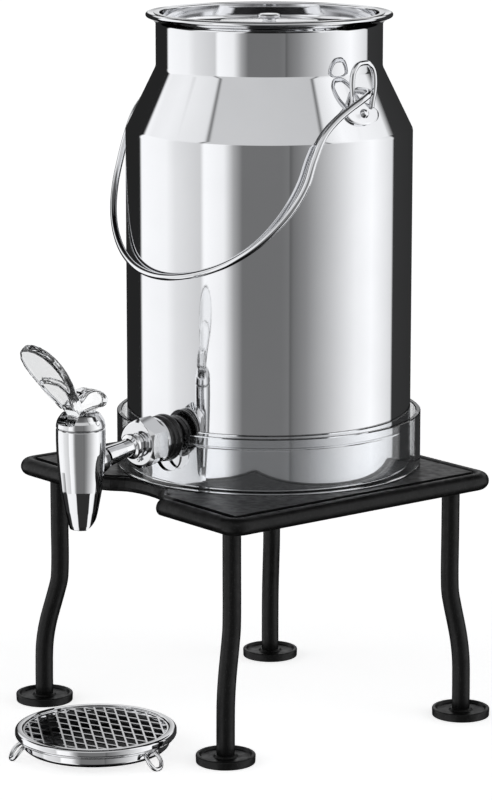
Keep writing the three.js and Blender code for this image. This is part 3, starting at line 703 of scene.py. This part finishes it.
def collar():
    """Clear ring with a round-bottomed slot that lets the tap through."""
    outer, inner, top = 91.2, 88.2, 184
    half, slot_floor, flare, above = 9.5, 160.6, 3, 2
    loop = [
        (inner, FOOT_Z + 0.4), (inner + 0.4, FOOT_Z), (outer - 0.4, FOOT_Z), (outer, FOOT_Z + 0.4),
        (outer, top - 0.5), (outer - 0.5, top), (inner + 0.5, top), (inner, top - 0.5),
    ]
    ring = lathe(loop, 256, loop=True)
    angles = (0.4, 0.8, 1.2, math.pi / 2)
    shoulder = [(half + flare - flare * math.sin(a), top - flare + flare * math.cos(a)) for a in angles]
    outline = [(-half - flare, top + above), (-half - flare, top)]
    outline += [(-x, z) for x, z in shoulder]
    outline += arc(0, slot_floor + half, half, 180, 360, 24)
    outline += reversed(shoulder)
    outline += [(half + flare, top), (half + flare, top + above)]
    tool = moved(prism(outline, 0, 30), turn(math.pi / 2, "X"), shift(0, -75, 0))
    piece("collar_ring", cut(ring, tool), "collar", "clear_acrylic", ("clear_collar",), 30)


# ------------------------------------------------------------------ tap


def washer():
    """The dark seal washer: three bands parted by two grooves."""
    outline = [
        (TAP_BORE, 91.8, 0), (13.6, 91.8, 0.4), (13.9, 93, 0.8), (13.7, 94.8, 0.5),
        (12.8, 95.4, 0.5), (13.5, 96.2, 0.5), (13.4, 98.2, 0.6), (12.4, 98.8, 0.5),
        (12.9, 99.6, 0.4), (12.6, 101.2, 0.4), (12, 101.5, 0.2), (TAP_BORE, 101.5, 0),
    ]
    shape = moved(lathe(rounded(outline, 4), 96), *ALONG_TAP)
    piece("washer_cone", shape, "can", "rubber", ("seal_washer",), 40)


def nut():
    """The hexagon nut with its corners turned off, and the round skirt behind it."""
    seat, back = 101.8, 103.8
    corner = NUT_FLATS / math.sqrt(3)
    angles = [math.radians(60 * i + 30) for i in range(6)]
    hexagon = [(corner * math.cos(a), corner * math.sin(a)) for a in angles]
    crown = lathe(rounded([
        (0, back, 0), (corner - 1.4, back, 0.6), (corner + 0.1, 105.2, 1.5),
        (corner + 0.1, 115, 1.5), (corner - 2.5, NUT_FACE, 0.8), (0, NUT_FACE, 0)], 4), 160)
    skirt = lathe(rounded([
        (0, seat, 0), (13.3, seat, 0.4), (13.3, back, 0.6), (12.6, 104.6, 0.3), (0, 104.6, 0)], 3), 96)
    shape = join(common(prism(hexagon, back, NUT_FACE), crown), skirt)
    shape = cut(shape, rod(TAP_BORE, 95, SHANK_START), rod(6.4, 115, 120))
    piece("nut_body", moved(shape, *ALONG_TAP), "can", "chrome", ("hex_nut",), 26)


def shank():
    """The drooping bar with a turned bead, trimmed square where it enters the nut."""
    profile = rounded([
        (3, 0.1, 0), (6.1, 0.1, 0), (6.1, 2.6, 0.4), (7.6, 3.5, 1.4), (7.6, 6.6, 1.4), (5.2, 7.8, 0.8),
        (5.2, 14, 4), (5.7, 22, 4), (6, 27.6, 0), (3, 27.6, 0)], 5)
    aim = (turn(math.pi / 2 + DROOP, "X"), shift(0, -SHANK_START, TAP_Z))
    bar = moved(lathe(profile, 96, loop=True), *aim)
    trim = moved(rod(12, SHANK_START - 10, SHANK_START + 0.1), *ALONG_TAP)
    piece("shank_bar", cut(bar, trim), "can", "chrome", ("shank",), 40)


def spout():
    """The tapering spout with its side socket, hollow inside, and its outlet cut at a slant."""
    slant = math.radians(41)
    outer = rounded([
        (0, 139.6, 0), (6.7, 139.6, 0.5), (7.5, 142, 2), (9.5, 150, 20), (11.8, 162, 20), (13.1, 174, 20),
        (13.9, 184, 20), (14.1, 191, 20), (14.05, 197.4, 0.6), (13.6, 198, 0.3), (0, 198, 0)], 5)
    upright = shift(0, SPOUT_Y, 0)
    body = moved(lathe(outer, 128), upright)
    socket_z = TAP_Z - math.tan(DROOP) * (-SPOUT_Y - NUT_FACE)
    aim = (turn(-math.pi / 2 + DROOP, "X"), shift(0, SPOUT_Y + 1, socket_z))
    sleeve = rounded([(0, -2, 0), (8.6, -2, 0), (8.2, 12, 8), (7, 16.6, 0.8), (0, 16.8, 0)], 5)
    socket = moved(lathe(sleeve, 96), *aim)
    port = moved(rod(3, -2, 30, 32), *aim)
    recess = moved(rod(6.3, 14.1, 30, 64), *aim)
    chamber = moved(rod(9.4, 170, 200, 64), upright)
    outlet = moved(lathe([(0, 130), (5.4, 130), (5.4, 146), (6, 171), (0, 171)], 64), upright)
    bevel = moved(box((-20, -10, -30), (20, 40, 0)), turn(slant, "X"), shift(0, -166, 139.5))
    shape = cut(join(body, socket), port, recess, chamber, outlet, bevel)
    piece("spout_shell", shape, "can", "chrome", ("spout_body",), 30)


def bonnet():
    """The domed cap of the tap, slotted for the lever and open in front."""
    base, sill, pin_hole = 198.3, 201.2, 1.66
    dome = rounded([
        (0, base, 0), (13.6, base, 0.3), (14.05, base + 0.6, 0.4), (13.9, base + 2.2, 4),
        (13.3, base + 4.6, 6), (10.8, base + 8.2, 4), (7.4, base + 9.8, 5), (0, base + 10.1, 0)], 6)
    cap = moved(lathe(dome, 128), shift(0, SPOUT_Y, 0))
    slot = box((-6.2, SPOUT_Y - 7, base - 5), (6.2, SPOUT_Y + 9, base + 20))
    front = box((-6.6, SPOUT_Y - 20, sill), (6.6, SPOUT_Y, base + 20))
    hole = moved(rod(pin_hole, -20, 20, 32), turn(math.pi / 2, "Y"), shift(0, SPOUT_Y, PIN_Z))
    piece("bonnet_cap", cut(cap, slot, front, hole), "can", "chrome", ("bonnet",), 30)


def lever():
    """The CAD lever with one soft moulded skin."""
    mesh = frame["nodes"]["lever_handle"].data
    back = INTO_FRAME.inverted()
    shape = [back @ v.co for v in mesh.vertices], [tuple(p.vertices) for p in mesh.polygons]
    piece("lever_clear", remeshed(shape, 0.45, 6), "lever", "clear_acrylic", ("lever_handle",), 60)


# ------------------------------------------------------------------ stand


def rails():
    """The round rails as one bar with soft welded corners, open at the notch in front."""
    bend, radius, lead = 7.0, 5.15, 8
    notch_left, notch_right, run, z = -41, 35, 19, PLATE_TOP - 5.1
    path = [(notch_left, -STAND_Y), (notch_left - run, -STAND_Y)]
    for side, end, start in ((-1, -1, 270), (-1, 1, 180), (1, 1, 90), (1, -1, 0)):
        centre = side * (STAND_X - bend), end * (STAND_Y - bend)
        corner = arc(*centre, bend, start, start - 90, 4)
        a = math.radians(start)
        onward = Vector((math.sin(a), -math.cos(a)))
        outward = Vector((math.cos(a), math.sin(a)))
        path.append(Vector(corner[0]) - onward * lead)
        path += corner
        path.append(Vector(corner[-1]) - outward * lead)
    path += [(notch_right + run, -STAND_Y), (notch_right, -STAND_Y)]
    bar = tube([(x, y, z) for x, y in path], radius, 1.6, 32, 0.9)
    nodes = ("rail_back", "rail_left", "rail_right", "rail_front_left", "rail_front_right")
    place = (turn(STAND_TURN, "Z"), shift(*STAND_CENTRE, 0))
    piece("rail_loop", moved(bar, *place), "stand", "black_iron", nodes, 40)


def legs_and_feet():
    """Four bent legs, each standing on a round foot with a raised rim and middle."""
    disc = lathe(rounded([
        (0, 0, 0), (17.2, 0, 0.5), (17.4, 4.9, 0.9), (15.4, 5, 0.6), (14.3, 3.4, 0.6), (7.2, 3.3, 1),
        (6.2, 4.6, 0.6), (0, 4.7, 0)], 4), 96)
    for name, (top, foot) in LEGS.items():
        path = [(*Vector(top).lerp(Vector(foot), share), z) for share, z in LEG_BEND]
        piece(f"leg_bar_{name}", tube(path, 5.4, 2.5, 28, 0.1), "stand", "black_iron", (f"leg_{name}",), 50)
        shape = moved(disc, shift(*foot, 0))
        piece(f"foot_disc_{name}", shape, "stand", "black_iron", (f"foot_{name}",), 40)


# ------------------------------------------------------------------ drip tray


def mesh_cells():
    """The openings of the expanded-metal grate: leaning cells in staggered rows."""
    pitch, length, strand, crossing = 5.85, 11.2, 1.0, 1.5
    rows, columns, reach = 8, 5, 46
    lean, heading = math.radians(35), math.radians(-41)
    along, across = (length - crossing) / 2, (pitch - strand) / 2
    slant = across * math.tan(lean)
    verts, faces = [], []
    for row in range(-rows, rows + 1):
        for column in range(-columns, columns + 1):
            x, y = (column + (row % 2) / 2) * length, row * pitch
            if math.hypot(x, y) > reach:
                continue
            outline = [
                (x - along - slant, y - across), (x + along - slant, y - across),
                (x + along + slant, y + across), (x - along + slant, y + across)]
            cell_verts, cell_faces = prism(outline, 10, 20)
            faces += [tuple(i + len(verts) for i in face) for face in cell_faces]
            verts += cell_verts
    return moved((verts, faces), turn(heading, "Z"))


def tray_dish():
    """The tray's basin, polished on its rim; its well is rougher and carries painted shade as a near-black
    colour.
    """
    well_radius, well_floor = 41.8, 4.6
    basin = rounded([
        (0, 4, 0), (40.5, 4, 2), (42.8, 6, 1.5), (42.9, 10.6, 0.5), (45.7, 10.5, 0.2), (45.9, 11, 0.2),
        (45.6, 11.4, 0.2), (41.7, 11.4, 0.6), (40.6, 6, 1.5), (39, 5, 1), (0, 5, 0)], 4)
    dish = piece("tray_dish", moved(lathe(basin, 160), AT_TRAY), "tray", "chrome", ("tray_basin",), 40)
    # The second material paints the well's shade in; the loop below gives it to the faces inside the well
    dish.data.materials.append(MATERIALS["painted_shade_well_steel"])
    centre = INTO_FRAME @ TRAY
    for polygon in dish.data.polygons:
        across = (polygon.center.xy - centre.xy).length
        in_well = across < well_radius * MM and polygon.center.z > well_floor * MM
        polygon.material_index = 1 if in_well else 0


def grate():
    """The sheet with its slanting openings, in a ring with a rolled upper edge."""
    ring = [
        (40.2, 11.7), (46.6, 11.7), *arc(46, 12.7, 1, -60, 0, 4), *arc(45.4, 14.4, 1.6, 5, 90, 7),
        (43.1, 16), (42.7, 15.8), (42.6, 15.4), (42.6, 13.3), (40.2, 13.3)]
    piece("ring_band", moved(lathe(ring, 160, loop=True), AT_TRAY), "grate", "chrome", ("grate_ring",), 34)
    sheet = cut(rod(42.2, 14.3, 15.1, 128), common(mesh_cells(), rod(41.3, 0, 30, 128)))
    piece("grate_sheet", moved(sheet, AT_TRAY), "grate", "chrome", ("grate_mesh",), 30)


def tray_feet():
    """Bent wire feet, spread round the basin."""
    half = [(43.4, 3.6, 9.2), (45.6, 4.4, 7.6), (48.4, 4.4, 4.4), (50.2, 2.6, 1.8)]
    path = half + [(50.7, 0, 1.25)] + [(r, -t, z) for r, t, z in reversed(half)]
    wire = tube(path, 1.2, 0.8, 16)
    for i, degrees in enumerate(TRAY_FEET, start=1):
        foot = moved(wire, turn(math.radians(degrees), "Z"), AT_TRAY)
        piece(f"tray_wire_{i}", foot, "tray", "chrome", (f"tray_foot_{i}",), 40)


# ------------------------------------------------------------------ studio


def maths(tree, operation, *values):
    """The result of a sum, whose values are numbers or the outputs of other nodes."""
    node = tree.nodes.new("ShaderNodeMath")
    node.operation = operation
    for socket, value in zip(node.inputs, values):
        if isinstance(value, (int, float)):
            socket.default_value = value
        else:
            tree.links.new(value, socket)
    return node.outputs["Value"]


def blend(tree, factor, first, second):
    """Goes from the first colour to the second, which may also be a fixed one."""
    node = tree.nodes.new("ShaderNodeMix")
    node.data_type = "RGBA"
    tree.links.new(factor, node.inputs["Factor"])
    tree.links.new(first, node.inputs["A"])
    if isinstance(second, tuple):
        node.inputs["B"].default_value = second
    else:
        tree.links.new(second, node.inputs["B"])
    return node.outputs["Result"]


def dimmed(tree, colour, operation, name, amount):
    """A colour times another colour (MULTIPLY) or times a number (SCALE)."""
    node = tree.nodes.new("ShaderNodeVectorMath")
    node.operation = operation
    tree.links.new(colour, node.inputs[0])
    tree.links.new(amount, node.inputs[name])
    return node.outputs["Vector"]


def ray_parts(tree):
    """The direction of a ray, turned so that the camera lies along -Y, as its X, Y and Z."""
    place = tree.nodes.new("ShaderNodeTexCoord")
    rotate = tree.nodes.new("ShaderNodeVectorRotate")
    rotate.rotation_type = "Z_AXIS"
    rotate.inputs["Angle"].default_value = -CAMERA_AZIMUTH
    tree.links.new(place.outputs["Generated"], rotate.inputs["Vector"])
    split = tree.nodes.new("ShaderNodeSeparateXYZ")
    tree.links.new(rotate.outputs["Vector"], split.inputs["Vector"])
    return [split.outputs[axis] for axis in "XYZ"]


def panels(tree, round_room, stops):
    """The colour of the room all the way round, from (degrees, brightness) stops."""
    colours = []
    for degrees, brightness in stops:
        colours.append((0.5 + degrees / 360, tuple(brightness / STUDIO_STRENGTH * c for c in STUDIO_TINT)))
    return ramp(tree, round_room, colours)


def outline_mask(tree, y, z):
    """Nearly zero for steep rays that go on behind the object, and one elsewhere."""
    steep = maths(tree, "MAXIMUM", span(tree, z, 0, 1, *STEEP_UP), span(tree, z, 1, 0, *STEEP_DOWN))
    behind = span(tree, y, 0, 1, *BEHIND)
    dark = maths(tree, "MULTIPLY", maths(tree, "MULTIPLY", steep, behind), OUTLINE_DARKNESS)
    return maths(tree, "SUBTRACT", 1, dark)


def seen_plainly(tree):
    """One where the camera sees the room, also through clear plastic, and zero in reflections."""
    path = tree.nodes.new("ShaderNodeLightPath")
    unreflected = maths(tree, "LESS_THAN", path.outputs["Glossy Depth"], 0.5)
    through = maths(tree, "MULTIPLY", path.outputs["Is Transmission Ray"], unreflected)
    return maths(tree, "MAXIMUM", path.outputs["Is Camera Ray"], through)


def studio():
    """A white room for the camera; round the object, soft panels with dark gaps between them."""
    world = bpy.data.worlds.new("studio")
    bpy.context.scene.world = world
    world.use_nodes = True
    tree = world.node_tree
    x, y, z = ray_parts(tree)
    azimuth = maths(tree, "ARCTAN2", x, maths(tree, "MULTIPLY", y, -1))
    round_room = maths(tree, "ADD", maths(tree, "DIVIDE", azimuth, 2 * math.pi), 0.5)
    low, middle, high = [panels(tree, round_room, stops) for stops in (LOWER_STUDIO, STUDIO, UPPER_STUDIO)]
    room = blend(tree, span(tree, z, 0, 1, *TO_UPPER), middle, high)
    room = blend(tree, span(tree, z, 1, 0, *TO_LOWER), room, low)
    fall = ramp(tree, maths(tree, "MULTIPLY_ADD", z, 0.5, 0.5), [(at, (v, v, v)) for at, v in FALL])
    room = dimmed(tree, room, "MULTIPLY", 1, fall)
    room = dimmed(tree, room, "SCALE", "Scale", outline_mask(tree, y, z))
    room = blend(tree, seen_plainly(tree), room, BACKDROP)
    background = tree.nodes["Background"]
    tree.links.new(room, background.inputs["Color"])
    background.inputs["Strength"].default_value = STUDIO_STRENGTH


def floor():
    """White paper under the object, which reflections and clear plastic don't see."""
    half, drop = 9, 0.2 * MM
    mesh = bpy.data.meshes.new("floor")
    corners = [(-half, -half, 0), (half, -half, 0), (half, half, 0), (-half, half, 0)]
    mesh.from_pydata(corners, [], [(0, 1, 2, 3)])
    obj = bpy.data.objects.new("floor", mesh)
    bpy.context.scene.collection.objects.link(obj)
    material, tree, shader = new_material("floor_paper")
    shader.inputs["Base Color"].default_value = (0.93, 0.93, 0.93, 1)
    shader.inputs["Roughness"].default_value = 0.9
    shader.inputs["Specular IOR Level"].default_value = 0
    shader.inputs["Emission Color"].default_value = (1, 1, 1, 1)
    shader.inputs["Emission Strength"].default_value = 0.72
    mesh.materials.append(material)
    obj.location.z = -drop
    obj.visible_glossy = False
    obj.visible_transmission = False


def camera():
    data = bpy.data.cameras.new("camera")
    data.lens = CAMERA_LENS
    data.clip_end = 50
    obj = bpy.data.objects.new("camera", data)
    bpy.context.scene.collection.objects.link(obj)
    across = CAMERA_DISTANCE * math.sin(CAMERA_AZIMUTH)
    back = -CAMERA_DISTANCE * math.cos(CAMERA_AZIMUTH)
    obj.location = INTO_FRAME @ Vector((across, back, CAMERA_HEIGHT))
    obj.rotation_euler = CAMERA_AIM
    bpy.context.scene.camera = obj


bpy.context.scene.view_settings.view_transform = "Standard"
camera()
studio()
floor()
dress_cad_nodes()
can_shell()
lid()
ears()
bail()
collar()
washer()
nut()
shank()
spout()
bonnet()
lever()
rails()
legs_and_feet()
tray_dish()
grate()
tray_feet()
